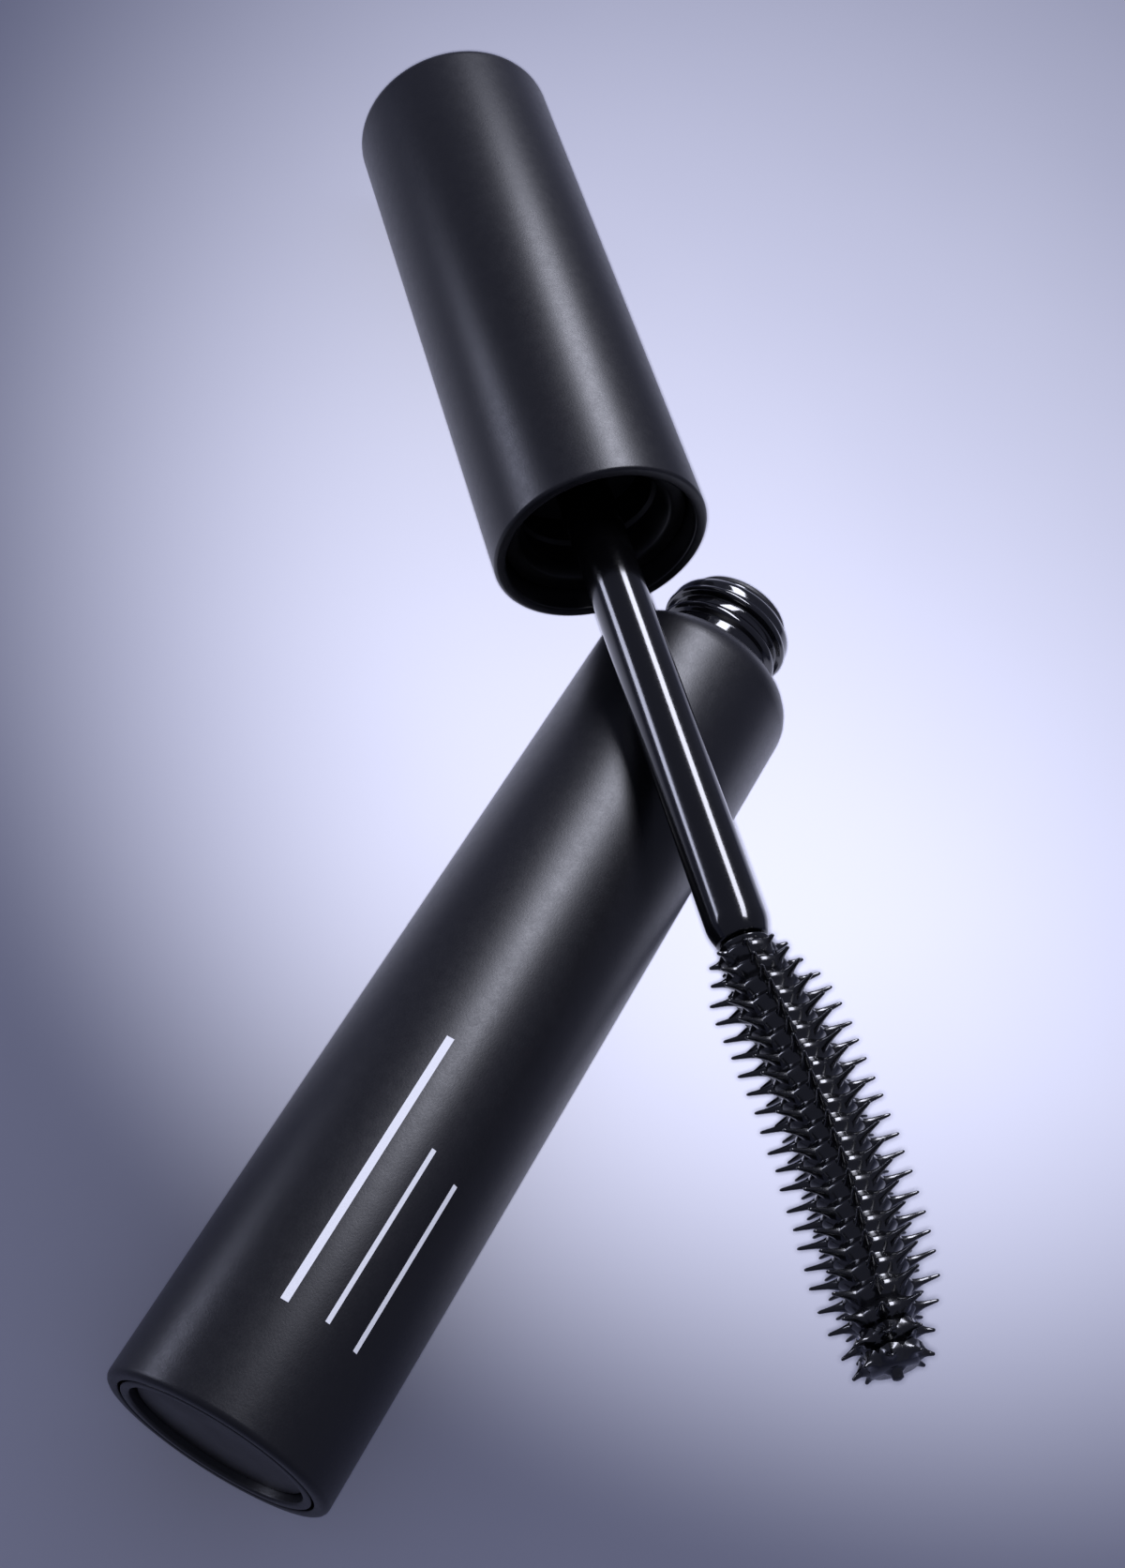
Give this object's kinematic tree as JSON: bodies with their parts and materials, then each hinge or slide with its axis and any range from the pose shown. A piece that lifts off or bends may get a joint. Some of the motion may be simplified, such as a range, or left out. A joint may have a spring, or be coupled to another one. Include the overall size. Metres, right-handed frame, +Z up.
{
  "type": "mascara tube",
  "caption": "Opened mascara: a round black screw-neck tube lying down, with its cap, stem and curved moulded brush resting across it.",
  "frame": {"origin": "centre of the whole object's bounding box, on the surface that it lies on", "axes": "+X along the tube's axis from its foot to its neck, +Y towards the side where the cap lies, +Z up"},
  "size_m": [0.1182, 0.089, 0.0319],
  "materials": {
    "satin_shell": "satin, faintly grained",
    "gloss_vial": "polished moulding",
    "gloss_stem": "high polish",
    "screw_insert": "as moulded",
    "soft_wiper": "soft, semi-matt",
    "label_disc": "smooth film",
    "brush_elastomer": "glossy moulded elastomer"
  },
  "bodies": {
    "tube": {"outer_sleeve": "satin_shell", "inner_vial": "gloss_vial", "wiper": "soft_wiper", "base_plug": "satin_shell", "shade_label": "label_disc"},
    "seal": {"sealing_washer": "soft_wiper"},
    "applicator": {"overcap": "satin_shell", "inner_cap": "screw_insert", "stem": "gloss_stem", "brush": "brush_elastomer"}
  },
  "joints": [
    {"name": "applicator_lift", "type": "slide", "parent": "tube", "child": "seal", "axis": [0, 0, 1], "range_m": [0, 0.06]},
    {"name": "cap_twist", "type": "hinge", "parent": "seal", "child": "applicator", "pos_m": [0.0146, 0.00322, 0.01735], "axis": [0.7332, 0.6602, -0.1632], "continuous": true}
  ]
}
